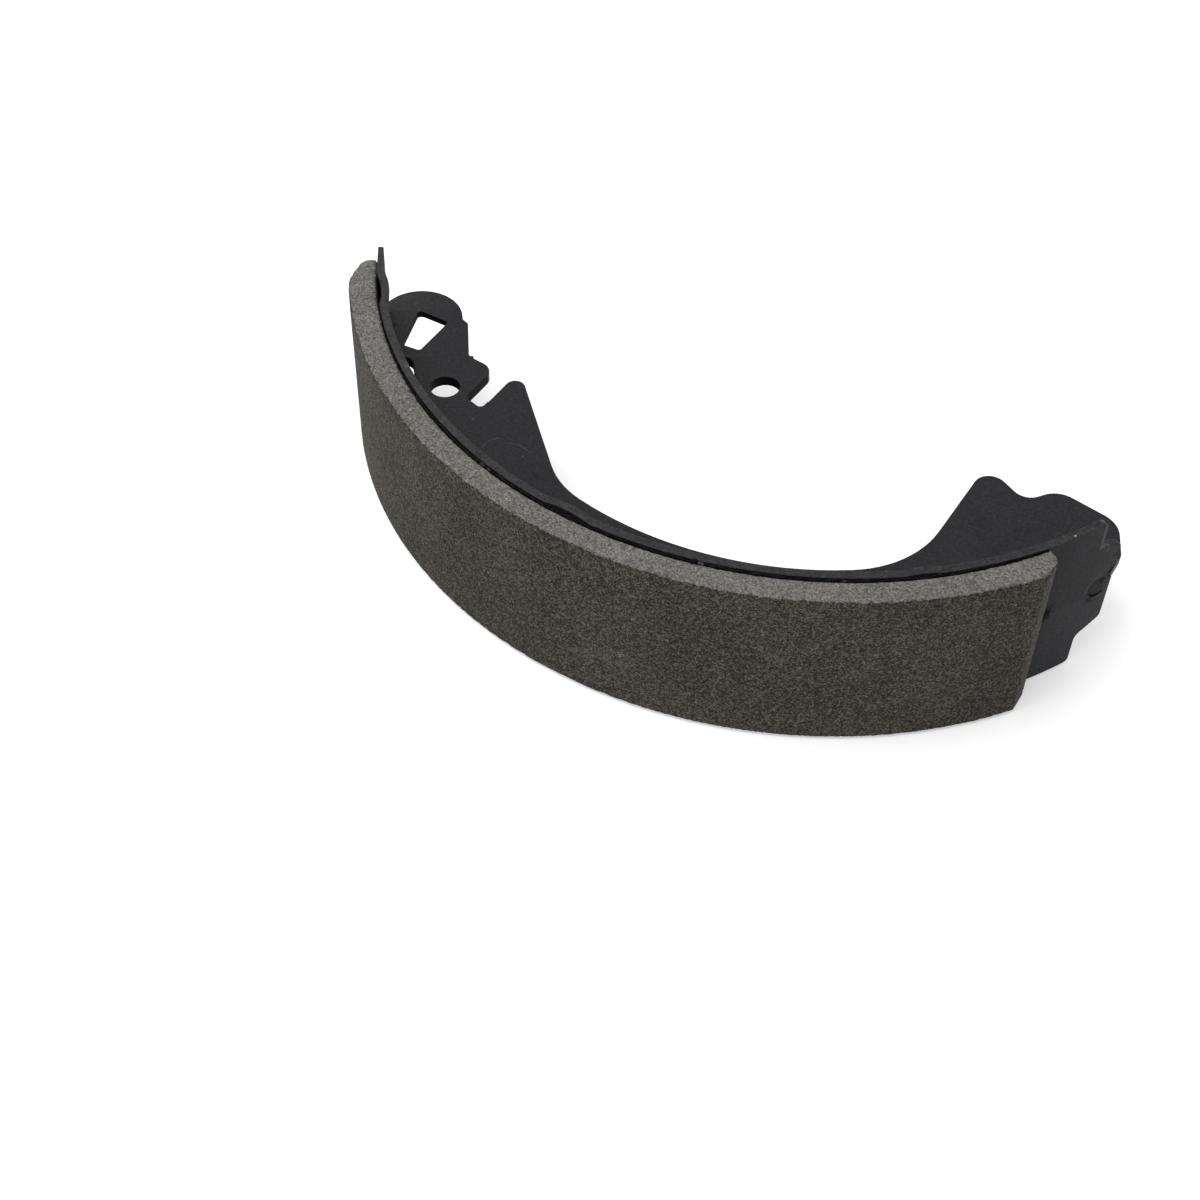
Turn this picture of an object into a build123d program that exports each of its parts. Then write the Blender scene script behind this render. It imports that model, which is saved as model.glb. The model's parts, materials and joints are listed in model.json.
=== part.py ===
from build123d import *
import math
import os

# A bonded brake shoe for a drum brake, lying on its side edge.
# Z is the drum's axis. Angles are degrees about that axis, counted from the middle of the
# lining (which faces -Y) and growing towards the anchor end (+X). Sizes are millimetres.

# ---- lining -------------------------------------------------------------------------------
lining_radius = 127.0            # ground to the bore of a 254 mm drum
lining_thickness = 6.8
lining_half_angle = 56.6
lining_side_gap = 0.2            # the lining is this much narrower than the table, each side
bevel_depth = 3.8                # how far each end bevel drops below the ground face
bevel_length_anchor = 5.4
bevel_length_lever = 9.0
bevel_rounding = 2.0
bevel_rounding_lever = 8.0       # where the lever end's bevel runs into the ground face

# ---- bond film ----------------------------------------------------------------------------
bond_thickness = 0.95
bond_recess = 0.5                # the film stops short of the lining's sides and ends

# ---- table: the rolled rim plate ----------------------------------------------------------
shoe_width = 50.8
table_thickness = 2.2
table_flat_angle = 52.0          # the rolls leave the lever end flat from here on
table_lever_angle = 59.9         # straight end, just past the lining
table_lever_corner = 2.0
shoulder_angle = 65.0            # where the full width stops at the anchor end
shoulder_corner = 1.4
end_lean = 1.0                   # by which the anchor end's cut is out of square
tab_length = 7.8                 # how far the tab runs on past the shoulders
tab_middle = 0.7                 # above the middle plane
tab_root_half_width = 16.4
tab_root_fillet = 2.5
tab_tip_half_width = 13.1
tab_tip_fillet = 1.7
tab_notch_radius = 2.1           # half-round notch in the tab's end
tab_notch_height = 3.5           # above the tab's middle
nibs = ((-51.0, 1.1), (-2.0, 1.1), (41.0, 0.5))    # angle and depth of each pair
nib_reach = 10.0                 # how far a nib runs in from the table's side
nib_radius = 26.0                # of the punch that presses it
weld_dent_angle = 58.2
weld_dent_radius = 2.4
weld_dent_depth = 0.7
stake_angle = 66.6               # half-moon stake mark in the middle of the tab
stake_radius = 3.1
stake_depth = 0.95
stake_tilt = 10.0

# ---- web: the flat plate ------------------------------------------------------------------
web_thickness = 3.2
rim_depth = 22.85                # of the plain stretch, in from the table
end_clearance = 0.15             # between the table's two ends and the web that runs past them
relief_depth = 6.0               # gaps between the weld pads on the outer edge
relief_angle = 10.0
relief_pitch = 16.0
relief_first_angle = -45.5
relief_count = 7
relief_corner = 3.0
weld_leg = 1.5
weld_angle = 3.4

# lever end: places are X and Y from the point of the table's inner face at this angle
lever_end_angle = -45.0
lobe_centre = (-10.7, 27.15)
lobe_radius = 11.85
shoulder_top = (-0.4, 33.1)
shoulder_step = (2.0, 32.3)
shoulder_foot = (10.2, 20.8)
shoulder_foot_fillet = 3.0
shoulder_lip = (19.1, 20.3)      # where the shoulder would meet the slot if the lip were sharp
shoulder_lip_fillet = 4.0
slot_width = 6.3                 # at its mouth
slot_floor = ((19.2, 6.3), (25.1, 4.8))
slot_corner = 1.3
tooth_apex = 23.6                # height at which its flanks would meet if its tip were sharp
tooth_slope = 0.966
tooth_tip_fillet = 2.8
tooth_blend = 25.0
pin_hole_centre = (12.0, 6.6)
pin_hole_radius = 4.1
spring_hole = ((-12.9, 29.3), (-3.0, 29.6), (-2.7, 15.3), (-8.2, 14.7))
spring_hole_corner = 1.0
spring_hole_breakout = 1.3       # height of the flare that the punch leaves below

# anchor end: ear, nose, bank, hollow seat for the anchor pin and heel, laid out in the same
# way from the point of the table's inner face at the shoulders
ear_foot = (4.3, 5.3)
ear_corner = (4.3, 15.0)
ear_fillet = 2.0
nose_corner = (-0.6, 25.6)
nose_fillet = 8.0
bank_corner = (-18.8, 28.2)
bank_fillet = 7.0
seat_floor = (-24.6, 19.8)
seat_fillet = 4.7
heel_corner = (-38.7, 26.6)
heel_fillet = 4.6
heel_blend = 30.0

# ---- sizes that follow from the ones above ------------------------------------------------
lining_inner_radius = lining_radius - lining_thickness
table_radius = lining_inner_radius - bond_thickness
table_inner_radius = table_radius - table_thickness
web_inner_radius = table_inner_radius - rim_depth
middle_height = shoe_width / 2
half_web = web_thickness / 2


def polar(radius, angle):
    """The point at a radius and an angle about the drum's axis."""
    turn = math.radians(angle)
    return (radius * math.sin(turn), -radius * math.cos(turn))


def from_rim(angle, point):
    """A place laid out from the table's inner face at an angle, as X and Y from the axis."""
    origin = polar(table_inner_radius, angle)
    return (origin[0] + point[0], origin[1] + point[1])


def from_lever_end(point):
    return from_rim(lever_end_angle, point)


def from_anchor_end(point):
    return from_rim(shoulder_angle, point)


def reaching(start, heading, radius):
    """Where a straight line out from a point meets the circle of a radius about the axis."""
    heading = Vector(*heading).normalized()
    start = Vector(*start)
    near = start.dot(heading)
    end = start + heading * (math.sqrt(near ** 2 - start.dot(start) + radius ** 2) - near)
    return (end.X, end.Y)


def angle_of(point):
    """The angle about the drum's axis at which a point lies."""
    return math.degrees(math.atan2(point[0], -point[1]))


def arc(radius, start, end):
    """The arc about the drum's axis from one angle to another."""
    return ThreePointArc(
        polar(radius, start), polar(radius, (start + end) / 2), polar(radius, end))


def polygon(*points):
    """The flat face inside a closed run of straight lines."""
    return make_face(Polyline(*points, close=True))


def band(inner, outer, start, end):
    """The flat face between two radii and two angles."""
    return make_face([
        arc(outer, start, end),
        Line(polar(outer, end), polar(inner, end)),
        arc(inner, end, start),
        Line(polar(inner, start), polar(outer, start)),
    ])


def rounded(face, *corners):
    """The face with its corner nearest to each given point rounded to the given radius."""
    for point, radius in corners:
        face = fillet(face.vertices().sort_by_distance((*point, 0))[0], radius)
    return face


def thick(face, thickness):
    """A flat face given a thickness, centred on the shoe's middle plane."""
    return Pos(0, 0, middle_height) * extrude(face, thickness / 2, both=True)


def touching(radius, angle):
    """The plane that touches a radius at an angle: X runs round the shoe, Y runs up it."""
    outward = (*polar(1, angle), 0)
    along = (*polar(1, angle + 90), 0)
    return Plane(origin=(*polar(radius, angle), middle_height), x_dir=along, z_dir=outward)


# ---- lining -------------------------------------------------------------------------------
def make_lining():
    lever_angle = math.degrees(bevel_length_lever / lining_radius) - lining_half_angle
    anchor_angle = lining_half_angle - math.degrees(bevel_length_anchor / lining_radius)
    lever_top = polar(lining_radius, lever_angle)
    lever_foot = polar(lining_radius - bevel_depth, -lining_half_angle)
    anchor_top = polar(lining_radius, anchor_angle)
    anchor_foot = polar(lining_radius - bevel_depth, lining_half_angle)
    section = make_face([
        arc(lining_radius, lever_angle, anchor_angle),
        Line(anchor_top, anchor_foot),
        Line(anchor_foot, polar(lining_inner_radius, lining_half_angle)),
        arc(lining_inner_radius, lining_half_angle, -lining_half_angle),
        Line(polar(lining_inner_radius, -lining_half_angle), lever_foot),
        Line(lever_foot, lever_top),
    ])
    section = rounded(
        section,
        (anchor_foot, bevel_rounding),
        (anchor_top, bevel_rounding),
        (lever_foot, bevel_rounding),
        (lever_top, bevel_rounding_lever),
    )
    return thick(section, shoe_width - 2 * lining_side_gap)


def flat_end_face():
    """The section of the table's last stretch at the lever end, which is left flat."""
    turn = math.radians(table_lever_angle - table_flat_angle)
    return polygon(
        polar(table_inner_radius, -table_flat_angle),
        polar(table_radius, -table_flat_angle),
        polar(table_radius / math.cos(turn), -table_lever_angle),
        polar(table_inner_radius / math.cos(turn), -table_lever_angle),
    )


def make_bond_film():
    half_angle = lining_half_angle - math.degrees(bond_recess / lining_inner_radius)
    section = band(table_radius, lining_inner_radius, -half_angle, half_angle)
    return thick(section - flat_end_face(), shoe_width - 2 * (lining_side_gap + bond_recess))


# ---- table --------------------------------------------------------------------------------
def anchor_end_outline():
    """The flat outline of the anchor end: two shoulders and the notched tab between them."""
    far = -2 * table_radius
    lean = math.tan(math.radians(end_lean))

    def at(along, height):
        return (along + lean * height, height)

    corners = (
        (at(0, -middle_height), shoulder_corner),
        (at(0, tab_middle - tab_root_half_width), tab_root_fillet),
        (at(tab_length, tab_middle - tab_tip_half_width), tab_tip_fillet),
        (at(tab_length, tab_middle + tab_tip_half_width), tab_tip_fillet),
        (at(0, tab_middle + tab_root_half_width), tab_root_fillet),
        (at(0, middle_height), shoulder_corner),
    )
    points = [point for point, radius in corners]
    outline = rounded(polygon((far, -middle_height), *points, (far, middle_height)), *corners)
    notch = at(tab_length, tab_middle + tab_notch_height)
    return outline - Pos(*notch) * Circle(tab_notch_radius)


def press_nib(table, angle, depth, side):
    """One nib: a tilted roller dents the side of the table and its die backs the dent."""
    tilt = math.degrees(math.atan2(depth, nib_reach))
    at_side = touching(table_radius - depth, angle) * Pos(0, side * middle_height, 0)
    along_roller = at_side * Rot(X=-side * tilt) * Pos(0, 0, nib_radius) * Rot(X=90)
    length = 2 * nib_reach
    punch = along_roller * Cylinder(nib_radius, length)
    die = along_roller * Cylinder(nib_radius + table_thickness, length)
    table += die & thick(Circle(table_radius), shoe_width)
    return table - punch


def make_table():
    past_tab = shoulder_angle + math.degrees(2 * tab_length / table_radius)
    section = band(table_inner_radius, table_radius, -table_flat_angle, past_tab)
    table = thick(section + flat_end_face(), shoe_width)
    lever_end = polar(table_radius, -table_lever_angle)
    for height in (0, shoe_width):
        corner = table.edges().sort_by_distance((*lever_end, height))[0]
        table = fillet(corner, table_lever_corner)
    for angle, depth in nibs:
        for side in (-1, 1):
            table = press_nib(table, angle, depth, side)
    shoulders = touching(table_radius, shoulder_angle)
    table &= shoulders * extrude(anchor_end_outline(), 2 * table_radius, both=True)
    dent_ball = (weld_dent_radius ** 2 + weld_dent_depth ** 2) / (2 * weld_dent_depth)
    above = Pos(0, 0, dent_ball - weld_dent_depth)
    table -= touching(table_radius, weld_dent_angle) * above * Sphere(dent_ball)
    stake_middle = stake_depth - stake_radius * math.tan(math.radians(stake_tilt))
    stake = Pos(0, tab_middle, 0) * Rot(Y=-stake_tilt) * Pos(0, 0, -stake_middle)
    table -= touching(table_radius, stake_angle) * stake * extrude(Circle(stake_radius), 10)
    return table


# ---- web ----------------------------------------------------------------------------------
def past_table(angle, distance):
    """The part of the shoe's disc past a straight cut, a distance on from a radial line."""
    half = table_radius
    on = math.copysign(distance + half, angle)
    return Circle(table_radius) & Rot(Z=angle) * Pos(on, 0) * Rectangle(2 * half, 2 * half)


def under_flat_end():
    """What lies between the drum's axis and the table's flat end."""
    turn = math.radians(table_lever_angle - table_flat_angle)
    end = polar(table_inner_radius / math.cos(turn), -table_lever_angle)
    return polygon((0, 0), polar(table_inner_radius, -table_flat_angle), end)


def lever_end_face():
    """The lobe, the stepped shoulder beside it and the pointed tooth past the slot."""
    top, step, foot, lip, floor = (
        from_lever_end(point)
        for point in (shoulder_top, shoulder_step, shoulder_foot, shoulder_lip, slot_floor[0]))
    lobe = from_lever_end(lobe_centre)
    shoulder = polygon(
        lobe, top, step, foot, lip, floor,
        polar(table_radius, angle_of(foot)), polar(table_radius, angle_of(lobe)))
    shoulder = rounded(shoulder, (foot, shoulder_foot_fillet), (lip, shoulder_lip_fillet))
    apex = from_lever_end((shoulder_lip[0] + slot_width, tooth_apex))
    flank_end = reaching(apex, (1, -tooth_slope), table_inner_radius)
    tooth = rounded(polygon(apex, flank_end, (apex[0], flank_end[1])), (apex, tooth_tip_fillet))
    return shoulder + tooth + Pos(*lobe) * Circle(lobe_radius)


def slot_face():
    """The strut's slot, open towards the drum's axis."""
    left, right = (from_lever_end(point) for point in slot_floor)
    near = from_lever_end(shoulder_lip)
    far = from_lever_end((shoulder_lip[0] + slot_width, shoulder_lip[1]))
    slot = polygon(near, left, right, far, (far[0], 0), (near[0], 0))
    return rounded(slot, (left, slot_corner), (right, slot_corner))


def spring_hole_face():
    """The four-sided hole in the lobe."""
    corners = [from_lever_end(point) for point in spring_hole]
    return rounded(polygon(*corners), *((corner, spring_hole_corner) for corner in corners))


def anchor_head_face():
    """The head that bears on the anchor pin, with its ear past the end of the table's tab."""
    foot, ear, nose, bank, seat, heel = (
        from_anchor_end(point)
        for point in (ear_foot, ear_corner, nose_corner, bank_corner, seat_floor, heel_corner))
    heel_foot = reaching(heel, (0, -1), web_inner_radius)
    head = polygon(
        foot, ear, nose, bank, seat, heel, heel_foot,
        polar(table_inner_radius, angle_of(heel_foot)))
    return rounded(
        head,
        (ear, ear_fillet),
        (nose, nose_fillet),
        (bank, bank_fillet),
        (seat, seat_fillet),
        (heel, heel_fillet),
    )


def web_face():
    """The plate's whole outline with its slot, its holes and the gaps between weld pads."""
    rim_start = angle_of(from_lever_end(shoulder_foot))
    rim_end = angle_of(from_anchor_end(ear_foot))
    face = band(web_inner_radius, table_inner_radius, rim_start, rim_end)
    face += lever_end_face() + anchor_head_face()
    inside = Circle(table_inner_radius)
    inside += under_flat_end() + past_table(-table_lever_angle, end_clearance)
    inside += past_table(shoulder_angle, tab_length + end_clearance)
    face = (face & inside) - slot_face() - spring_hole_face()
    face -= Pos(*from_lever_end(pin_hole_centre)) * Circle(pin_hole_radius)
    apex = from_lever_end((shoulder_lip[0] + slot_width, tooth_apex))
    tooth_foot = reaching(apex, (1, -tooth_slope), web_inner_radius)
    heel_foot = reaching(from_anchor_end(heel_corner), (0, -1), web_inner_radius)
    face = rounded(face, (tooth_foot, tooth_blend), (heel_foot, heel_blend))
    relief_floor = table_inner_radius - relief_depth
    for number in range(relief_count):
        start = relief_first_angle + number * relief_pitch - relief_angle / 2
        end = start + relief_angle
        relief = band(relief_floor, table_radius, start, end)
        face -= rounded(
            relief,
            (polar(relief_floor, start), relief_corner),
            (polar(relief_floor, end), relief_corner),
        )
    return face


def weld(angle, side):
    """One fillet weld in the corner between a face of the web and the table."""
    face_height = middle_height + side * half_web
    corner = Plane.XZ * polygon(
        (table_inner_radius, face_height),
        (table_inner_radius, face_height + side * weld_leg),
        (table_inner_radius - weld_leg, face_height),
    )
    return Rot(Z=angle - 90 - weld_angle / 2) * revolve(corner, Axis.Z, weld_angle)


def make_web():
    web = thick(web_face(), web_thickness)
    flare_top = middle_height - half_web + spring_hole_breakout
    flare = extrude(spring_hole_face(), spring_hole_breakout, dir=(0, 0, -1), taper=-45)
    web -= Pos(0, 0, flare_top) * flare
    for number in range(relief_count + 1):
        for side in (-1, 1):
            web += weld(relief_first_angle + (number - 0.5) * relief_pitch, side)
    return web


# ---- the four pieces, moved so that the shoe stands on its origin ---------------------------
parts = {
    "web": make_web(),
    "table": make_table(),
    "lining": make_lining(),
    "bond_film": make_bond_film(),
}
box = Compound(list(parts.values())).bounding_box()
os.makedirs("parts", exist_ok=True)
for name, shape in parts.items():
    export_step(Pos(-box.center().X, -box.center().Y, -box.min.Z) * shape, f"parts/{name}.step")
    print(name, round(shape.volume), len(shape.faces()), len(shape.solids()), shape.bounding_box())
print(box.center(), box.min)
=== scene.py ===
# %% [markdown]
# # A bonded brake shoe
# A drum brake shoe is a bent steel table with a flat steel web welded along its middle, and a
# block of friction material glued to its outside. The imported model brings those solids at
# their true sizes. This lesson gives each one its small rounded edges or rough skin, then its
# finish, and last the floor, the lamp and the camera. Each piece stays where the model has
# it, and no part of its surface moves by as much as two millimetres.

import json
import math

import bpy
from mathutils import Matrix, Vector
from mathutils.bvhtree import BVHTree

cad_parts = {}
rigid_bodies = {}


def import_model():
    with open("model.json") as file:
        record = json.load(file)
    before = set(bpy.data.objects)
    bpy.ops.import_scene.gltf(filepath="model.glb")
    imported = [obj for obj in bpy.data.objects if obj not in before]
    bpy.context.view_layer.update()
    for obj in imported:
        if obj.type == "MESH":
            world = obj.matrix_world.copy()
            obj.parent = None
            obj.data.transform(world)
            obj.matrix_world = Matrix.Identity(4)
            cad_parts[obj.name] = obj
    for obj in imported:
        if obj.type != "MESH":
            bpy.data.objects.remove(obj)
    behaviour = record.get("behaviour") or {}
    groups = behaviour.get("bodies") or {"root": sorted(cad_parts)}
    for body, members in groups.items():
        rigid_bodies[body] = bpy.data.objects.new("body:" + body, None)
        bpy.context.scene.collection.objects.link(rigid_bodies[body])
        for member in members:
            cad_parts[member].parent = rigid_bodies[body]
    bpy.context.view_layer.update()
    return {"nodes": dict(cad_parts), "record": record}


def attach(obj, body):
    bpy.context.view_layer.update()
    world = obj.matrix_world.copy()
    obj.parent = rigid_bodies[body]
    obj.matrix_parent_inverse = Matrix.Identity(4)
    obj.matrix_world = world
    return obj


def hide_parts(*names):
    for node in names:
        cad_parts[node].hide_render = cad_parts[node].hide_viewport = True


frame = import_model()
print("nodes:", sorted(frame["nodes"]))

# %% [markdown]
# ## Where the shoe lies
# Everything on a shoe is an arc round the drum's axis, so most places in this lesson are
# given as an angle and a radius from it, and the angle is counted from straight down. The
# record says where the middle of the lining's face is. The axis is one radius further back.

# %% The drum's axis
MM = 0.001
LINING_RADIUS = 127.0
LINING_THICKNESS = 6.8
BOND_THICKNESS = 0.95
TABLE_RADIUS = LINING_RADIUS - LINING_THICKNESS - BOND_THICKNESS
mounts = {mount["name"]: Vector(mount["pos_m"]) for mount in frame["record"]["mounts"]}
DRUM_AXIS = mounts["drum_face"] + Vector((0, LINING_RADIUS * MM, 0))
print("drum axis:", [round(v / MM, 2) for v in DRUM_AXIS], "table radius:", round(TABLE_RADIUS, 2))


# %% [markdown]
# ## Helpers for meshes
# An operator acts on everything that is selected, so the first two helpers select nothing,
# or one object alone. A copy of a node is loose triangles, so its doubles are merged and its
# flat areas joined up before anything else is done to it: a bevel needs real edges to run
# along.

# %% Helpers: select, copy a node
def deselect():
    """Leave edit mode and select nothing, as before a new primitive."""
    if bpy.context.mode != "OBJECT":
        bpy.ops.object.mode_set(mode="OBJECT")
    bpy.ops.object.select_all(action="DESELECT")


def only(piece):
    """Select one object alone and make it the active one."""
    deselect()
    piece.select_set(True)
    bpy.context.view_layer.objects.active = piece


def copy_of(node, name):
    """A copy of a node's mesh as a new object, its loose triangles joined up."""
    piece = frame["nodes"][node].copy()
    piece.data = frame["nodes"][node].data.copy()
    piece.parent = None
    piece.matrix_world = Matrix.Identity(4)
    for key in [key for key in piece.keys() if key.startswith("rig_")]:
        del piece[key]
    piece.name = piece.data.name = name
    bpy.context.scene.collection.objects.link(piece)
    only(piece)
    bpy.ops.object.mode_set(mode="EDIT")
    bpy.ops.mesh.select_all(action="SELECT")
    bpy.ops.mesh.remove_doubles(threshold=0.004 * MM)
    bpy.ops.mesh.dissolve_limited(angle_limit=math.radians(0.5))
    bpy.ops.object.mode_set(mode="OBJECT")
    piece.data.materials.clear()
    print(name, "copied,", len(piece.data.polygons), "faces")
    return piece


# %% [markdown]
# Modifiers do most of the shaping. Each is applied at once, so that what follows works on
# its result, and its settings are given by their own names.

# %% Helpers: apply a modifier, smooth, lumps for Displace
def apply_modifier(piece, kind, **settings):
    """Add a modifier with its settings and apply it at once."""
    only(piece)
    modifier = piece.modifiers.new(kind.title(), kind)
    for key, value in settings.items():
        setattr(modifier, key, value)
    bpy.ops.object.modifier_apply(modifier=modifier.name)
    print(piece.name, kind.lower(), "->", len(piece.data.polygons), "faces")


def smooth(piece, degrees):
    """Shade smooth, but keep edges sharper than the angle."""
    only(piece)
    bpy.ops.object.shade_smooth_by_angle(angle=math.radians(degrees))


def clouds(name, size, depth):
    """A procedural texture for Displace: soft lumps of one size."""
    texture = bpy.data.textures.new(name, "CLOUDS")
    texture.noise_scale = size
    texture.noise_depth = depth
    return texture


# %% [markdown]
# Three more helpers are for moving points one by one, by where they lie round the drum's
# axis. They count in millimetres, as a drawing does.

# %% Helpers: where a point lies, how far between two limits, and the point moved
def around_axis(point):
    """A point as its arm from the drum's axis, its angle from straight down and its radius."""
    arm = (point - DRUM_AXIS) / MM
    return arm, math.degrees(math.atan2(arm.x, -arm.y)), math.hypot(arm.x, arm.y)


def part_way(value, low, high):
    """How far a value has come from low to high, from 0 to 1."""
    return min(max((value - low) / (high - low), 0), 1)


def shifted(arm, outward, onward=Vector()):
    """The point at the end of an arm, moved outward along it and then on by a vector."""
    grown = 1 + outward / math.hypot(arm.x, arm.y)
    return DRUM_AXIS + (Vector((arm.x * grown, arm.y * grown, arm.z)) + onward) * MM


# %% [markdown]
# ## The steel parts
# Steel that is sheared and painted has no knife edges: the burr is tumbled off and the paint
# flows round what is left. A Bevel modifier of a fifth of a millimetre does both, and its two
# segments give the thin light line that runs along such an edge. Its clamp is off, because it
# would hold every edge back to what the shortest one has room for, and the shortest here is
# a twentieth of a millimetre long. What each edge really got is measured afterwards. The
# price is paid at one crowded place, the web's first weld pad, where two rounded edges cross
# and a few triangles of the flat faces fold over.

# %% Web and table with eased edges
EASE = 0.2
MOVED = 0.01


def ease_edges(piece):
    """Round a piece's sharp edges, and measure how deep the rounding cuts."""
    before = piece.data.copy()
    apply_modifier(piece, "BEVEL", width=EASE * MM, segments=2, limit_method="ANGLE",
                   angle_limit=math.radians(40), use_clamp_overlap=False)
    corners = [vertex.co for vertex in before.vertices]
    sharp = BVHTree.FromPolygons(corners, [face.vertices for face in before.polygons])
    bpy.data.meshes.remove(before)
    cuts = [sharp.find_nearest(vertex.co)[3] / MM for vertex in piece.data.vertices]
    print(piece.name, "deepest cut at an edge:", round(max(cuts), 3), "mm, points moved:",
          sum(cut > MOVED for cut in cuts))
    smooth(piece, 35)
    apply_modifier(piece, "WEIGHTED_NORMAL", weight=100, keep_sharp=True)


web = copy_of("web", "web_plate")
ease_edges(web)
table = copy_of("table", "table_plate")
ease_edges(table)

# %% [markdown]
# The shear that cut the table to length dragged its lever end out a little thinner and
# longer than the sheet, as every shear does. Only the last ring of points is moved: its
# outer side goes in by two thirds of a millimetre, and all of it on by nearly one.

# %% The table's drawn-out lever end
DRAWN_FROM = -58.6
THINNED = 0.65
THINNED_BAND = (118.2, 119.1)
LENGTHENED = 0.9 * Vector((-0.52, 0.855, 0))
drawn = 0
for vertex in table.data.vertices:
    arm, angle, radius = around_axis(vertex.co)
    if angle < DRAWN_FROM:
        inward = THINNED * part_way(radius, *THINNED_BAND)
        vertex.co = shifted(arm, -inward, LENGTHENED)
        drawn += 1
print("points drawn out at the lever end:", drawn)


# %% [markdown]
# ## What gluing does to the bond
# Where the lining is pressed hardest onto the table, the glue is thinner, and on this shoe
# that is toward both ends. Points just outside the table are moved in by a share of the
# bond's thickness, which changes with the angle. The move grows from nothing at the table,
# and fades out inside the lining by FADE for each millimetre further out.

# %% Helper: the bond pressed thinner toward both ends
SHARES = ((-54.1, 1.0), (-53.6, 0.75), (-46, 0.75), (-36, 0.53),
          (-22, 0.0), (36, 0.0), (56, 0.65))
FADED_RADIUS = 121.4
FADE = 0.79


def share(angle):
    """How much of the bond's thickness is pressed out, at an angle from straight down."""
    for (low, first), (high, last) in zip(SHARES, SHARES[1:]):
        if angle <= high:
            return first + (last - first) * max(angle - low, 0) / (high - low)
    return SHARES[-1][1]


def squeeze(piece):
    """Move in what lies just outside the table, which itself stays where it is."""
    pressed = 0
    for vertex in piece.data.vertices:
        arm, angle, radius = around_axis(vertex.co)
        past_table = max(radius - TABLE_RADIUS, 0)
        sink = share(angle) * min(past_table, max(FADE * (FADED_RADIUS - radius), 0))
        if sink > 0:
            vertex.co = shifted(arm, -sink)
            pressed += 1
    print(piece.name, "points pressed in:", pressed)


# %% [markdown]
# ## The lining
# Friction material is pressed from fibres, resin and metal powder, then ground to the drum's
# radius. Its skin is open and its edges crumble a little. Remesh turns the block into one
# even net of small faces, which Displace can then move in and out by a twelfth of a
# millimetre, so the roughness is real at the edges too and not only a trick of the light.

# %% Lining as an even net of faces
NET_SIZE = 0.62 * MM
lining = copy_of("lining", "lining_block")
apply_modifier(lining, "REMESH", mode="VOXEL", voxel_size=NET_SIZE)
apply_modifier(lining, "SMOOTH", factor=0.5, iterations=2)

# %% [markdown]
# At the lever end the block is fuller than a plain bevel would leave it. Its outside swells
# in a low hump, highest midway and nothing at its foot, and the inner half of its nose
# reaches on along the table.

# %% The lining's full lever end
LEVER_END = -52
SWELL = 0.8
HUMP = (-56.6, -52.5)
HUMP_ROUNDNESS = 0.7
FOOT_RADIUS = 121
TIP_HEIGHT = 2.2
FULL_HEIGHT = LINING_RADIUS - FOOT_RADIUS
REACH = 1.35
NOSE = (-54.4, -56.5)
NOSE_DEPTH = (126.4, 121.8)
ALONG_NOSE = Vector((-0.555, 0.832, 0))
filled = 0
for vertex in lining.data.vertices:
    arm, angle, radius = around_axis(vertex.co)
    if angle < LEVER_END:
        along = part_way(angle, *HUMP)
        top = TIP_HEIGHT + (FULL_HEIGHT - TIP_HEIGHT) * along
        height = max(radius - FOOT_RADIUS, 0) / top
        swell = SWELL * math.sin(math.pi * along) ** HUMP_ROUNDNESS * height
        reach = REACH * part_way(angle, *NOSE) * part_way(radius, *NOSE_DEPTH)
        vertex.co = shifted(arm, swell, reach * ALONG_NOSE)
        filled += 1
print("points filled out at the lever end:", filled)

# %% [markdown]
# With the nose in shape, the block is pressed onto the bond and its skin roughened.

# %% The lining's rough skin
ROUGHNESS = 0.16 * MM
GRAIN_SIZE = 0.8 * MM
squeeze(lining)
apply_modifier(lining, "DISPLACE", texture=clouds("pressed_grain", GRAIN_SIZE, 1),
               texture_coords="LOCAL", strength=ROUGHNESS, mid_level=0.5)
smooth(lining, 60)

# %% [markdown]
# ## The bond
# The adhesive that is squeezed out sets as a thin black bead along both sides. The film
# itself is a copy of its solid. A bead is a small circle spun round the drum's axis, closed
# at both ends, and pushed about by Displace until it is as uneven as glue.

# %% Film, and a helper for a bead
film = copy_of("bond_film", "bond_line")
squeeze(film)
smooth(film, 35)

BEAD_RADIUS = 119.72
BEAD_FIRST = -50
BEAD_LAST = 55
STEPS_PER_DEGREE = 8


def bead(name, height, thickness):
    """A rod of glue along the bond, at a height from the shoe's lower side."""
    start = math.radians(BEAD_FIRST - 90)
    sweep = BEAD_LAST - BEAD_FIRST
    out = BEAD_RADIUS * MM * Vector((math.cos(start), math.sin(start), 0))
    axis_foot = Vector((DRUM_AXIS.x, DRUM_AXIS.y, height * MM))
    deselect()
    bpy.ops.mesh.primitive_circle_add(vertices=10, radius=thickness * MM, fill_type="NGON",
                                      location=axis_foot + out,
                                      rotation=(math.radians(90), 0, start))
    rod = bpy.context.object
    rod.name = rod.data.name = name
    bpy.ops.object.transform_apply(location=True, rotation=True, scale=True)
    bpy.ops.object.mode_set(mode="EDIT")
    bpy.ops.mesh.select_all(action="SELECT")
    bpy.ops.mesh.spin(steps=sweep * STEPS_PER_DEGREE, angle=math.radians(sweep),
                      center=axis_foot, axis=(0, 0, -1))
    bpy.ops.mesh.select_all(action="SELECT")
    bpy.ops.mesh.remove_doubles(threshold=0.001 * MM)
    bpy.ops.mesh.normals_make_consistent(inside=False)
    bpy.ops.object.mode_set(mode="OBJECT")
    angles = [around_axis(vertex.co)[1] for vertex in rod.data.vertices]
    print(name, "runs from", round(min(angles), 1), "to", round(max(angles), 1), "degrees")
    return rod


# %% [markdown]
# No two sides squeeze out alike, so the lower bead is a little thinner and less lumpy.

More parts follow.
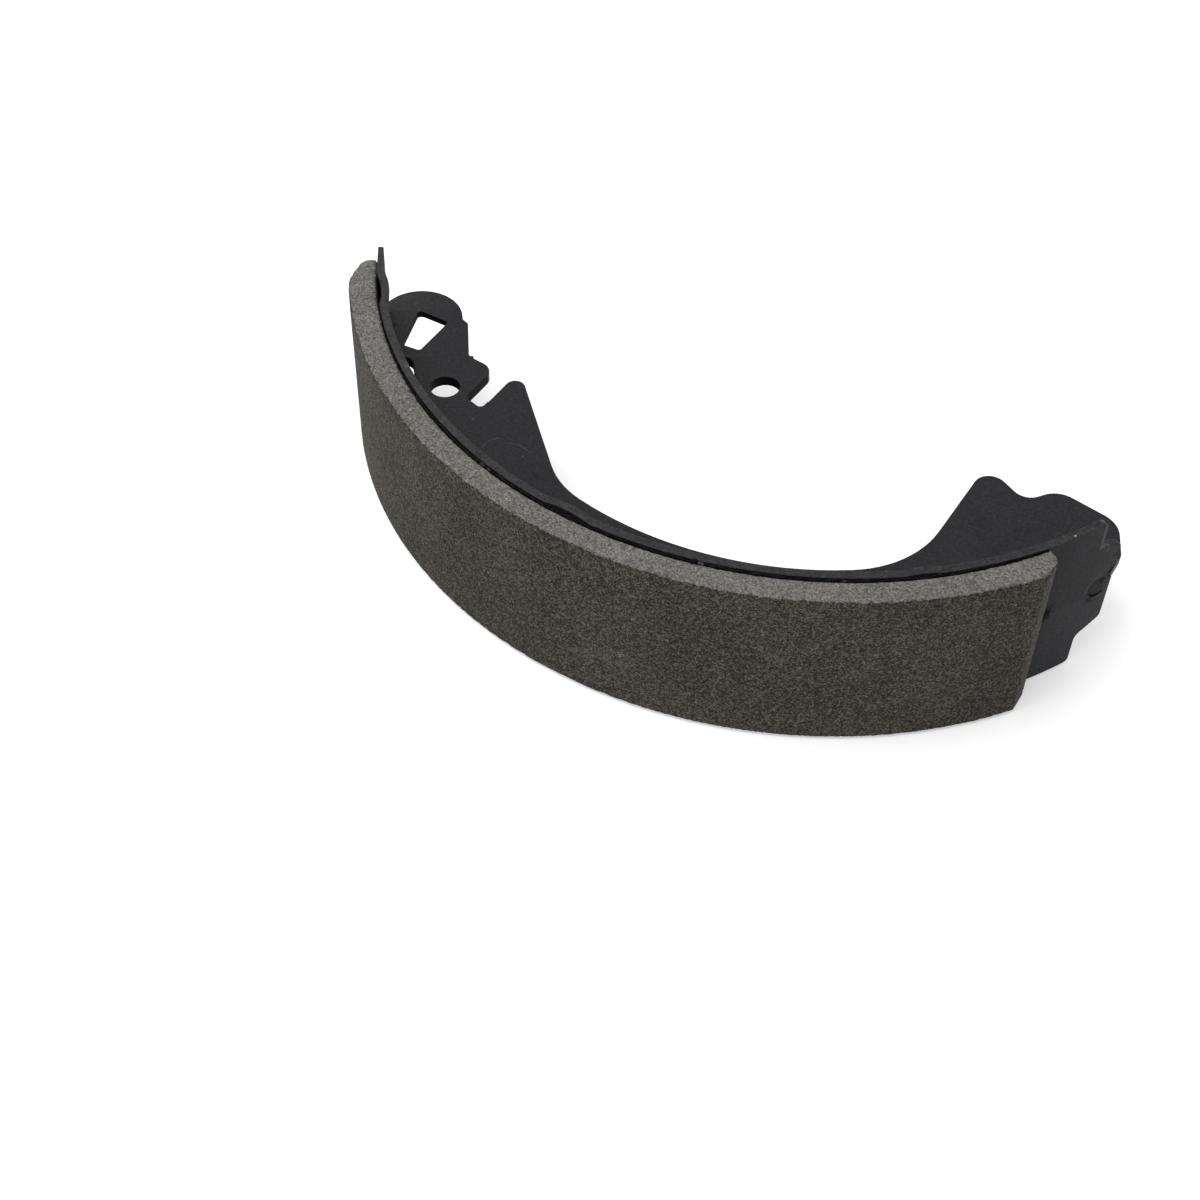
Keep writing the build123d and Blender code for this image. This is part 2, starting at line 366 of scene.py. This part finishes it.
# %% Two beads of squeezed-out glue
LUMP_SIZE = 2.0 * MM
LUMP_HEIGHTS = (1.45 * MM, 0.9 * MM)
beads = [bead("bead_near", 50.2, 0.52), bead("bead_far", 0.75, 0.45)]
for rod, lumps in zip(beads, LUMP_HEIGHTS):
    apply_modifier(rod, "DISPLACE", texture=clouds("glue_lumps", LUMP_SIZE, 2),
                   texture_coords="LOCAL", strength=lumps, mid_level=0.52)
    squeeze(rod)
    smooth(rod, 80)


# %% [markdown]
# ## Helpers for materials
# Each helper makes one node and gives back its output socket, so a finish reads from top to
# bottom like a recipe. A value may be a number, a colour, or the socket of an earlier node.

# %% Helpers: textures that give back a socket
def feed(tree, socket, value):
    """Link a socket, or set its number, vector or colour."""
    if isinstance(value, bpy.types.NodeSocket):
        tree.links.new(value, socket)
    elif isinstance(value, (tuple, list)) and len(value) == 3 and socket.type == "RGBA":
        socket.default_value = (*value, 1)
    elif value is not None:
        socket.default_value = value


def place(tree):
    """The point's place on the object, in metres."""
    return tree.nodes.new("ShaderNodeTexCoord").outputs["Object"]


def noise(tree, scale, detail=2.0, roughness=0.5):
    """Soft noise from 0 to 1: a scale of 1000 makes lumps of about a millimetre."""
    node = tree.nodes.new("ShaderNodeTexNoise")
    feed(tree, node.inputs["Vector"], place(tree))
    feed(tree, node.inputs["Scale"], scale)
    feed(tree, node.inputs["Detail"], detail)
    feed(tree, node.inputs["Roughness"], roughness)
    return node.outputs["Fac"]


def cells(tree, scale):
    """Cells with a random colour each, and the distance from the cell's own middle."""
    node = tree.nodes.new("ShaderNodeTexVoronoi")
    feed(tree, node.inputs["Vector"], place(tree))
    feed(tree, node.inputs["Scale"], scale)
    return node.outputs


def split(tree, colour):
    """The three channels of a colour, as three random numbers of one cell."""
    node = tree.nodes.new("ShaderNodeSeparateColor")
    feed(tree, node.inputs["Color"], colour)
    return node.outputs


# %% [markdown]
# The next helpers do sums: on numbers, on vectors, on ranges and on colours. A bump turns a
# height into a tilt of the surface.

# %% Helpers: sums, ranges, colours and a bump
def reckon(tree, operation, first, second=None, third=None):
    """A sum on numbers."""
    node = tree.nodes.new("ShaderNodeMath")
    node.operation = operation
    for socket, value in zip(node.inputs, (first, second, third)):
        feed(tree, socket, value)
    return node.outputs["Value"]


def vector_reckon(tree, operation, first, second=None, output="Vector"):
    """A sum on vectors. A length or a distance comes from the output Value."""
    node = tree.nodes.new("ShaderNodeVectorMath")
    node.operation = operation
    feed(tree, node.inputs[0], first)
    feed(tree, node.inputs[1], second)
    return node.outputs[output]


def between(tree, value, low, high, first=0.0, last=1.0):
    """Stretch the range low..high to first..last, and stop at its ends."""
    node = tree.nodes.new("ShaderNodeMapRange")
    for name, number in (("Value", value), ("From Min", low), ("From Max", high),
                         ("To Min", first), ("To Max", last)):
        feed(tree, node.inputs[name], number)
    return node.outputs["Result"]


def blend(tree, factor, first, second, how="MIX"):
    """Mix two colours. The node keeps its sockets for colours at 6 and 7, after the others."""
    node = tree.nodes.new("ShaderNodeMix")
    node.data_type = "RGBA"
    node.blend_type = how
    feed(tree, node.inputs["Factor"], factor)
    feed(tree, node.inputs[6], first)
    feed(tree, node.inputs[7], second)
    return node.outputs[2]


def ramp(tree, factor, stops):
    """A colour ramp from a list of (position, colour)."""
    node = tree.nodes.new("ShaderNodeValToRGB")
    elements = node.color_ramp.elements
    while len(elements) < len(stops):
        elements.new(0.5)
    for element, (position, colour) in zip(elements, stops):
        element.position = position
        element.color = (*colour, 1)
    feed(tree, node.inputs["Fac"], factor)
    return node.outputs["Color"]


def bump(tree, height, distance, strength=1.0):
    """Tilt the surface as a relief of that height would."""
    node = tree.nodes.new("ShaderNodeBump")
    feed(tree, node.inputs["Height"], height)
    feed(tree, node.inputs["Distance"], distance)
    feed(tree, node.inputs["Strength"], strength)
    return node.outputs["Normal"]


# %% [markdown]
# A finish is a new material with a Principled shader, and a piece may take more than one.

# %% Helpers: a new material, and a piece that takes it
def new_material(name):
    """A material, its node tree and the inputs of its shader."""
    material = bpy.data.materials.new(name)
    material.use_nodes = True
    tree = material.node_tree
    return material, tree, tree.nodes["Principled BSDF"].inputs


def coat(piece, material):
    """Give a piece one more material."""
    piece.data.materials.append(material)
    print(piece.name, "takes", material.name, "of", len(material.node_tree.nodes), "nodes")


# %% [markdown]
# ## Shared effects
# What more than one finish uses is a node group, made once: where a point lies on the shoe,
# the grain of a pressed mixture, a chip knocked out of the paint, and the paint's own skin.
# A group gives only values and masks. The shader itself stays in the material.

# %% Helpers: a node group, and a way to use one
def new_group(name, inputs, outputs):
    """A group with its inputs (label, kind, value) and its outputs, which are all numbers."""
    group = bpy.data.node_groups.new(name, "ShaderNodeTree")
    for label, kind, value in inputs:
        socket = group.interface.new_socket(name=label, in_out="INPUT", socket_type=kind)
        socket.default_value = value
    for label in outputs:
        group.interface.new_socket(name=label, in_out="OUTPUT", socket_type="NodeSocketFloat")
    taken = group.nodes.new("NodeGroupInput").outputs
    given = group.nodes.new("NodeGroupOutput").inputs
    return group, taken, given


def use(tree, group, **values):
    """A group as one node in a tree."""
    node = tree.nodes.new("ShaderNodeGroup")
    node.node_tree = group
    for label, value in values.items():
        feed(tree, node.inputs[label], value)
    return node.outputs


# %% [markdown]
# The first group tells where a point lies, in millimetres and degrees from the drum's axis,
# so that a finish can change toward an end, an edge or the ground face.

# %% Group: where a point lies on the shoe
where, taken, given = new_group("where_on_shoe", [], ["Radius", "Aside", "Up", "East", "Angle"])
offset = vector_reckon(where, "SUBTRACT", place(where), tuple(DRUM_AXIS))
flat = vector_reckon(where, "MULTIPLY", offset, (1000, 1000, 0))
feed(where, given["Radius"], vector_reckon(where, "LENGTH", flat, output="Value"))
parts = where.nodes.new("ShaderNodeSeparateXYZ")
feed(where, parts.inputs["Vector"], offset)
aside = reckon(where, "ABSOLUTE", parts.outputs["Z"])
feed(where, given["Aside"], reckon(where, "MULTIPLY", aside, 1000))
down = reckon(where, "MULTIPLY", parts.outputs["Y"], -1)
turn = reckon(where, "ARCTAN2", parts.outputs["X"], down)
feed(where, given["Angle"], reckon(where, "DEGREES", turn))
feed(where, given["Up"], reckon(where, "MULTIPLY", parts.outputs["Z"], 1000))
feed(where, given["East"], reckon(where, "MULTIPLY", parts.outputs["X"], 1000))
print("group", where.name, "of", len(where.nodes), "nodes")

# %% [markdown]
# A pressed mixture is grains of many sizes at once. Four layers of them, from a third of a
# millimetre up to patches of two centimetres, add up to one value, and larger cells give a
# few light and dark specks.

# %% Group: grain of a pressed mixture
grain, taken, given = new_group("pressed_grain", [],
                                ["Grain", "Light specks", "Dark specks", "Hue"])
crisp = reckon(grain, "MULTIPLY", split(grain, cells(grain, 2900)["Color"])["Red"], 0.26)
fine = reckon(grain, "MULTIPLY_ADD", noise(grain, 2100, 2.0, 0.65), 0.42, crisp)
coarse = reckon(grain, "MULTIPLY_ADD", noise(grain, 640, 2.0, 0.6), 0.20, fine)
patches = reckon(grain, "MULTIPLY_ADD", noise(grain, 55, 2.0, 0.5), 0.12, coarse)
feed(grain, given["Grain"], patches)
specks = cells(grain, 1100)
chance = split(grain, specks["Color"])
dot = between(grain, specks["Distance"], 0.42, 0.30)
light = between(grain, chance["Red"], 0.93, 0.96)
dark = between(grain, chance["Green"], 0.90, 0.95)
feed(grain, given["Light specks"], reckon(grain, "MULTIPLY", dot, light))
feed(grain, given["Dark specks"], reckon(grain, "MULTIPLY", dot, dark))
feed(grain, given["Hue"], noise(grain, 75, 4.0, 0.75))
print("group", grain.name, "of", len(grain.nodes), "nodes")

# %% [markdown]
# A chip is a small ball of space, its distance made ragged by noise. Where the ball meets the
# surface, the paint is gone.

# %% Group: a chip in the paint
chip, taken, given = new_group("paint_chip", [("Centre", "NodeSocketVector", (0, 0, 0)),
                                              ("Size", "NodeSocketFloat", 0.5)], ["Chip"])
away = vector_reckon(chip, "DISTANCE", place(chip), taken["Centre"], output="Value")
unevenness = between(chip, noise(chip, 1300, 2.0), 0.3, 0.7, 0.5, 1.6)
ragged = reckon(chip, "MULTIPLY", unevenness, reckon(chip, "MULTIPLY", away, 1000))
feed(chip, given["Chip"], between(chip, reckon(chip, "DIVIDE", ragged, taken["Size"]), 1.1, 0.8))


def chips(tree, spots):
    """The mask of several chips: each is a place in millimetres and a size."""
    mask = 0.0
    for centre, size in spots:
        spot = use(tree, chip, Centre=tuple(c * MM for c in centre), Size=size)["Chip"]
        mask = reckon(tree, "MAXIMUM", mask, spot)
    return mask


print("group", chip.name, "of", len(chip.nodes), "nodes")

# %% [markdown]
# Dipped paint is a little uneven in tone and gloss, has the faint relief of an orange's peel,
# and catches dust while it dries.

# %% Group: the skin of dipped paint
skin, taken, given = new_group("paint_skin", [], ["Tone", "Roughness", "Height"])
mottle = noise(skin, 95, 3.0, 0.55)
dust = between(skin, noise(skin, 1700, 1.0), 0.66, 0.78)
peel = noise(skin, 620, 2.0, 0.5)
fleck = between(skin, noise(skin, 1250, 2.0, 0.7), 0.3, 0.7, -0.38, 0.38)
tone = reckon(skin, "ADD", between(skin, mottle, 0.3, 0.7, 0.88, 1.12), fleck)
feed(skin, given["Tone"], reckon(skin, "MULTIPLY_ADD", dust, 0.8, tone))
feed(skin, given["Roughness"], between(skin, mottle, 0.3, 0.7, 0.43, 0.53))
feed(skin, given["Height"], reckon(skin, "ADD", peel, reckon(skin, "MULTIPLY", dust, 0.4)))
print("groups:", [group.name for group in bpy.data.node_groups])


# %% [markdown]
# ## Paint on the web
# The web is dipped in a thin black primer that dries to a dark, slightly bluish grey with a
# low sheen. It was handled: two faint curved scratches and two small chips lie near the lever
# end. A light spot on the ear's edge at the anchor end is a painted highlight. A scratch is a
# ring: the places whose distance from a centre is the ring's radius, kept only near one side
# and where a noise lets it through, so it fades in and out.

# %% Scratch helper
def scratch(tree, centre, radius, width, side):
    """Part of a thin ring on a flat face, fading out away from one side of it."""
    flat = vector_reckon(tree, "MULTIPLY", place(tree), (1000, 1000, 0))
    away = vector_reckon(tree, "DISTANCE", flat, centre, output="Value")
    off_line = reckon(tree, "ABSOLUTE", reckon(tree, "SUBTRACT", away, radius))
    line = between(tree, off_line, width, width * 0.3)
    near = vector_reckon(tree, "DISTANCE", flat, side, output="Value")
    fading = between(tree, noise(tree, 700, 2.0), 0.4, 0.6)
    reach = reckon(tree, "MULTIPLY", between(tree, near, 3.6, 2.4), fading)
    return reckon(tree, "MULTIPLY", line, reach)


# %% [markdown]
# Scratches and chips are lighter than the primer. Two spots on the web's edge, one under the
# tab's notch and one in a small pit, are painted dark as shade. Near the rim on the lever side,
# where the table's wall shades the web, painted light makes the primer a shade lighter.

# %% The web's paint
PRIMER = (0.0165, 0.0165, 0.0187)
WALL_SHADE_LIFT = (0.0265, 0.0265, 0.0285)
SCRAPED_AND_HIGHLIGHT = (0.062, 0.062, 0.062)
SPOT_SHADE = (0.0015, 0.0015, 0.0015)
PEEL = 0.02 * MM
SCRATCHES = (((-43.6, -17.5, 0), 7.35, 0.36, (-43.0, -10.4, 0)),
             ((-45.2, -15.1, 0), 6.45, 0.34, (-51.2, -13.0, 0)))
# The first two spots are chips; the last, on the ear's edge at the anchor end, is a painted
# highlight.
WEB_CHIPS_AND_HIGHLIGHT = (((-59.89, -8.33, 27.0), 0.45), ((-40.61, -13.01, 27.0), 0.4),
             ((107.43, 38.4, 25.8), 1.1))
WEB_SHADE_SPOTS = (((106.96, 33.02, 27.0), 1.7), ((-100.75, 11.78, 27.0), 0.7))
web_paint, tree, shader = new_material("web_primer")
surface = use(tree, skin)
spot = use(tree, where)
marks = chips(tree, WEB_CHIPS_AND_HIGHLIGHT)
for centre, radius, width, side in SCRATCHES:
    marks = reckon(tree, "MAXIMUM", marks, scratch(tree, centre, radius, width, side))
# Painted light: the primer is lightened near the rim on the lever side, against the table wall's
# shade.
wall_shade_lift = reckon(tree, "MULTIPLY", between(tree, spot["Radius"], 98, 114),
                 between(tree, spot["Angle"], -15, -35))
tone = blend(tree, wall_shade_lift, PRIMER, WALL_SHADE_LIFT)
tone = vector_reckon(tree, "MULTIPLY", tone, surface["Tone"])
# Painted shade: two spots on the web's edge go nearly black.
shade_spots = reckon(tree, "MULTIPLY", chips(tree, WEB_SHADE_SPOTS), 0.9)
tone = blend(tree, shade_spots, tone, SPOT_SHADE)
# Scratches, chips and the painted highlight on the ear's edge are made lighter here.
tone = blend(tree, reckon(tree, "MULTIPLY", marks, 0.7), tone, SCRAPED_AND_HIGHLIGHT)
feed(tree, shader["Base Color"], tone)
feed(tree, shader["Roughness"], surface["Roughness"])
feed(tree, shader["Normal"], bump(tree, surface["Height"], PEEL))
shader["Specular IOR Level"].default_value = 0.12
coat(web, web_paint)

# %% [markdown]
# The walls of the openings were punched, and the dip leaves them darker and duller than the
# faces. They get their own slot: in code, the faces that stand upright round each opening.

# %% Walls of the openings
WALL = [(0.35, (0.002, 0.002, 0.002)), (0.7, (0.006, 0.006, 0.006))]
wall_paint, tree, shader = new_material("punched_wall")
feed(tree, shader["Base Color"], ramp(tree, noise(tree, 900, 2.0), WALL))
feed(tree, shader["Roughness"], 0.7)
feed(tree, shader["Normal"], bump(tree, noise(tree, 700, 2.0), 0.05 * MM))
shader["Specular IOR Level"].default_value = 0.1
coat(web, wall_paint)

HOLE = ((-73.64, -1.37), 5.0)
WINDOW = ((-92.8, 14.7), 8.6)
SLOT = ((-66.3, 2.2), 6.5)
marked = 0
for face in web.data.polygons:
    spot = (face.center.x / MM, face.center.y / MM)
    upright = abs(face.normal.z) < 0.5
    if upright and any(math.dist(spot, middle) < reach for middle, reach in (HOLE, WINDOW, SLOT)):
        face.material_index = 1
        marked += 1
print("faces on the walls of the openings:", marked)


# %% [markdown]
# ## Paint on the table
# The same primer covers the table. Its two long sheared edges are a shade lighter, most of all
# at the lever end: partly rough sheared paint, partly painted sheen where they catch the light.
# A few bright nicks and rubs are wear; one rub at the tab end of the top edge, and the end of
# the upper shoulder, are painted highlights.

# %% The table's paint
SHEARED_EDGE_AND_SHEEN = (0.038, 0.038, 0.039)
RUBBED_AND_HIGHLIGHT = (0.095, 0.095, 0.093)
NICKS = (((100.07, 15.72, 50.8), 0.32), ((66.81, -19.67, 50.8), 0.22))
# The first of these, at the tab end of the top edge, is a painted highlight; the rest are rubs.
RUBS_AND_HIGHLIGHTS = (((103.4, 24.0, 50.8), 0.6), ((105.69, 26.66, 41.5), 0.6), ((106.2, 26.6, 40.2), 0.5),
        ((63.0, -21.0, 50.8), 0.5), ((-70.5, -22.0, 50.8), 0.6))
table_paint, tree, shader = new_material("table_primer")
surface = use(tree, skin)
spot = use(tree, where)
# Sheared edges lighter, most at the lever end: partly rough paint, partly painted sheen where they
# catch light.
edge = reckon(tree, "MULTIPLY", between(tree, spot["Aside"], 25.1, 25.3),
              between(tree, noise(tree, 420, 3.0, 0.6), 0.25, 0.65, 0.5, 1.0))
edge = reckon(tree, "MULTIPLY", edge, between(tree, spot["East"], -90, 40, 1.3, 0.85))
tone = vector_reckon(tree, "MULTIPLY", blend(tree, edge, PRIMER, SHEARED_EDGE_AND_SHEEN), surface["Tone"])
# Painted highlight along the end of the upper shoulder.
shoulder_highlight = reckon(tree, "MULTIPLY", between(tree, spot["Angle"], 64.65, 64.9),
                  between(tree, spot["Up"], 16.0, 16.8))
rubs_and_highlights = reckon(tree, "MAXIMUM", chips(tree, RUBS_AND_HIGHLIGHTS), shoulder_highlight)
tone = blend(tree, reckon(tree, "MULTIPLY", rubs_and_highlights, 0.55), tone, RUBBED_AND_HIGHLIGHT)
print(table_paint.name, "has", len(tree.nodes), "nodes so far")


# %% [markdown]
# A punch staked the table to the web at the anchor end and left a dimple. Its dark inner edge
# and its corners are painted shade, and the bright rim over it on the side toward the lining is
# a painted highlight. A few spots beside the lining's end and one at the tab's tip go near black.

# %% Ring helper and the stake's marks
def ring(tree, centre, inner, outer, ragged=0.15):
    """A ragged oval round a place, between two half widths in millimetres, taller than wide."""
    offset = vector_reckon(tree, "SUBTRACT", place(tree), tuple(c * MM for c in centre))
    oval = vector_reckon(tree, "MULTIPLY", offset, (1000, 1000, 726))
    away = vector_reckon(tree, "LENGTH", oval, output="Value")
    away = reckon(tree, "ADD", away,
                  between(tree, noise(tree, 900, 2.0), 0.3, 0.7, -ragged, ragged))
    return reckon(tree, "MULTIPLY", between(tree, away, outer + 0.3, outer - 0.3),
                  between(tree, away, inner - 0.3, inner + 0.3))


STAKE = (105.95, 26.7, 25.5)
STAKE_RIM_HIGHLIGHT = (0.05, 0.05, 0.051)
NEAR_BLACK = (0.0005, 0.0005, 0.0005)
# Spots at the tab's tip and beside the lining's end are darkened to near black.
TIP_DARK_SPOT = (((108.08, 30.9, 36.3), 1.3),)
LINING_END_DARK_SPOTS = (((98.6, 13.0, 27.0), 1.6), ((98.4, 12.6, 25.2), 1.7), ((98.2, 12.3, 23.2), 1.5))
DIMPLE_SHADE = (((106.5, 28.0, 27.8), 1.3), ((105.6, 25.0, 23.0), 1.0))
# Painted highlight: a bright rim above the dimple, on the side toward the lining.
stake_rim_highlight = reckon(tree, "MULTIPLY", ring(tree, STAKE, 3.75, 4.1), between(tree, spot["Up"], -0.5, 1.0))
stake_rim_highlight = reckon(tree, "MULTIPLY", stake_rim_highlight, between(tree, spot["Angle"], 67.0, 66.2))
tone = blend(tree, reckon(tree, "MULTIPLY", stake_rim_highlight, 0.9), tone, STAKE_RIM_HIGHLIGHT)
# Painted shade: the dimple's dark inner edge and corners go near black, with the spots listed
# above.
dark = reckon(tree, "MULTIPLY", ring(tree, STAKE, 2.75, 3.3),
              between(tree, spot["Angle"], 67.3, 66.7))
dark = reckon(tree, "MAXIMUM", dark, chips(tree, TIP_DARK_SPOT + LINING_END_DARK_SPOTS + DIMPLE_SHADE))
tone = blend(tree, dark, tone, NEAR_BLACK)

# %% [markdown]
# The lower half of the tab catches more light than the upper half, and that light is painted in:
# it is made a third lighter. The nicks go on last, over everything else.

# %% The table's finish
LOWER_HALF_LIT = (1.35, 1.35, 1.33)
NICKED = (0.30, 0.30, 0.29)
# Painted light: the lower half of the tab is made a third lighter.
low = reckon(tree, "MULTIPLY", between(tree, spot["Up"], 0.0, -1.2),
             between(tree, spot["East"], 99.0, 101.0))
tone = blend(tree, low, tone, LOWER_HALF_LIT, "MULTIPLY")
tone = blend(tree, chips(tree, NICKS), tone, NICKED)
feed(tree, shader["Base Color"], tone)
feed(tree, shader["Roughness"], surface["Roughness"])
feed(tree, shader["Normal"], bump(tree, surface["Height"], PEEL))
shader["Specular IOR Level"].default_value = 0.055
coat(table, table_paint)

# %% [markdown]
# The dimple's wall is as dull as the punched openings. Its faces are those near the dimple
# that don't look the way the tab does.

# %% The dimple's wall
DIMPLE = Vector((106.0, 27.0, 25.4))
DIMPLE_REACH = 3.9
TAB_LOOKS = Vector((0.83, -0.55, 0))
coat(table, wall_paint)
marked = 0
for face in table.data.polygons:
    near = (face.center / MM - DIMPLE).length < DIMPLE_REACH
    if near and face.normal.dot(TAB_LOOKS) < 0.93:
        face.material_index = 1
        marked += 1
print("faces on the dimple's wall:", marked)

# %% [markdown]
# ## Friction material
# The ground face is a dark brownish grey, full of tiny dark and light grains. The two side
# faces were only sawn and hold dust, so they are a little lighter; the rest of their much
# lighter tone is painted light, as the upper side catches it facing up. One material makes
# both: a mask by the distance from the middle of the shoe's width chooses between two ramps.

# %% The lining's finish
GROUND = [(0.36, (0.008, 0.008, 0.006)), (0.50, (0.035, 0.032, 0.026)),
          (0.64, (0.112, 0.103, 0.085))]
SAWN_AND_LIT = [(0.34, (0.064, 0.061, 0.056)), (0.50, (0.127, 0.122, 0.111)),
        (0.66, (0.225, 0.217, 0.200))]
WARM = (1.05, 1.0, 0.93)
COOL = (0.97, 1.0, 0.96)
BEVEL_GREY = (0.09, 0.088, 0.08)
DARKENED = (0.45, 0.45, 0.45)
LIT = (0.055, 0.054, 0.050)
block, tree, shader = new_material("friction_block")
mixture = use(tree, grain)
spot = use(tree, where)
tint = blend(tree, between(tree, mixture["Hue"], 0.35, 0.65), WARM, COOL)
face = blend(tree, 1.0, ramp(tree, mixture["Grain"], GROUND), tint, "MULTIPLY")
# Below the ground face, on the bevelled ends, the colour is mixed a quarter of the way to a
# lighter grey.
below = between(tree, spot["Radius"], 126.3, 124.5, 0.0, 0.25)
face = blend(tree, below, face, BEVEL_GREY)
crumble = between(tree, noise(tree, 600, 2.0), 0.3, 0.7, -0.12, 0.12)
# Sides get a much lighter ramp: partly sawn dust, partly painted light caught by the upturned
# side.
sawn_and_lit = between(tree, reckon(tree, "ADD", spot["Aside"], crumble), 24.9, 25.05)
colour = blend(tree, sawn_and_lit, face, ramp(tree, mixture["Grain"], SAWN_AND_LIT))
colour = blend(tree, mixture["Dark specks"], colour, DARKENED, "MULTIPLY")
colour = blend(tree, mixture["Light specks"], colour, LIT, "ADD")
feed(tree, shader["Base Color"], colour)
feed(tree, shader["Roughness"], 0.9)
feed(tree, shader["Normal"], bump(tree, mixture["Grain"], 0.3 * MM, 0.6))
shader["Specular IOR Level"].default_value = 0.2
coat(lining, block)

# %% [markdown]
# ## Adhesive
# Cured adhesive is black, smooth where it flowed and dull where it skinned over. A few tiny
# painted glints sit on it: single cells of a coarse pattern, picked by chance.

# %% The adhesive's finish
BLACK = [(0.35, (0.001, 0.001, 0.001)), (0.75, (0.005, 0.005, 0.005))]
GLINT_GREY = (0.07, 0.068, 0.062)
glue, tree, shader = new_material("cured_adhesive")
# Painted glints: a few single cells are made light grey.
glint_cells = cells(tree, 450)
glint_chance = between(tree, split(tree, glint_cells["Color"])["Red"], 0.90, 0.94)
glint = reckon(tree, "MULTIPLY", glint_chance, between(tree, glint_cells["Distance"], 0.38, 0.26))
black = ramp(tree, noise(tree, 500, 2.0), BLACK)
feed(tree, shader["Base Color"], blend(tree, glint, black, GLINT_GREY))
feed(tree, shader["Roughness"], between(tree, noise(tree, 350, 2.0), 0.3, 0.7, 0.35, 0.75))
feed(tree, shader["Normal"], bump(tree, noise(tree, 900, 2.0), 0.15 * MM))
shader["Specular IOR Level"].default_value = 0.05
for piece in [film, *beads]:
    coat(piece, glue)

# %% [markdown]
# ## Which piece stands for which solid
# Every piece rides on the one body, and the solid it replaces is hidden. The beads replace
# nothing: they are glue that the solids don't have.

# %% Ride, and hide the replaced solids
for piece, node, slot in ((web, "web", "web_paint"), (table, "table", "table_paint"),
                          (lining, "lining", "lining"), (film, "bond_film", "bond_film")):
    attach(piece, "root")
    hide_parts(node)
for rod in beads:
    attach(rod, "root")
print("pieces on the body:", [piece.name for piece in (web, table, lining, film, *beads)])

# %% [markdown]
# ## Floor and light
# A white sheet lies under the shoe. Its own colour gives the soft light from below. What the
# camera sees of it is topped up to white, and the shoe's shadow stays.

# %% Floor
FLOOR_SIZE = 6.0
FLOOR_HEIGHT = -0.5 * MM
deselect()
bpy.ops.mesh.primitive_plane_add(size=FLOOR_SIZE, location=(0, 0, FLOOR_HEIGHT))
floor = bpy.context.object
floor.name = "floor"
sheet, tree, shader = new_material("white_sheet")
feed(tree, shader["Base Color"], (0.86, 0.86, 0.86))
feed(tree, shader["Roughness"], 0.9)
shader["Specular IOR Level"].default_value = 0.0
seen = tree.nodes.new("ShaderNodeLightPath").outputs
direct = reckon(tree, "MAXIMUM", seen["Is Camera Ray"], seen["Is Glossy Ray"])
feed(tree, shader["Emission Color"], (1, 1, 1))
feed(tree, shader["Emission Strength"], reckon(tree, "MULTIPLY", direct, 0.34))
coat(floor, sheet)

# %% [markdown]
# A white room stands round the sheet and lights the shoe evenly. It is seen at full white,
# but gives only three quarters of it as light, and one broad lamp overhead adds the rest.

# %% World and lamp
world = bpy.data.worlds.new("white_room")
bpy.context.scene.world = world
world.use_nodes = True
tree = world.node_tree
room = tree.nodes["Background"].inputs
feed(tree, room["Color"], (1, 1, 1))
seen = tree.nodes.new("ShaderNodeLightPath").outputs
direct = reckon(tree, "MAXIMUM", seen["Is Camera Ray"], seen["Is Glossy Ray"])
feed(tree, room["Strength"], between(tree, direct, 0.0, 1.0, 0.75, 1.0))

lamp = bpy.data.lights.new("overhead", "AREA")
lamp.size = 0.9
lamp.energy = 9
overhead = bpy.data.objects.new("overhead", lamp)
overhead.location = (-0.35, -0.35, 1.2)
overhead.rotation_euler = (-overhead.location).to_track_quat("-Z", "Y").to_euler()
bpy.context.scene.collection.objects.link(overhead)
print("lamp at", [round(v, 2) for v in overhead.location], "of", lamp.energy, "watts")

# %% [markdown]
# ## Camera
# The shoe lies on its side with the opening of its arc away from us, seen from above and
# from the front, a little to the right, through a lens that keeps its shape natural.

# %% Camera
CAMERA_PLACE = Vector((175.18, -332.914, 394.23)) * MM
CAMERA_TURNS = (42.3083, -1.0884, 32.0011)
camera_data = bpy.data.cameras.new("camera")
camera_data.sensor_width = 36
camera_data.lens = 60
camera_data.clip_start = 0.01
camera = bpy.data.objects.new("camera", camera_data)
camera.location = CAMERA_PLACE
camera.rotation_euler = [math.radians(turn) for turn in CAMERA_TURNS]
bpy.context.scene.collection.objects.link(camera)
bpy.context.scene.camera = camera
bpy.context.scene.view_settings.view_transform = "Standard"
print("camera", round(camera.location.length, 3), "m from the shoe's middle")
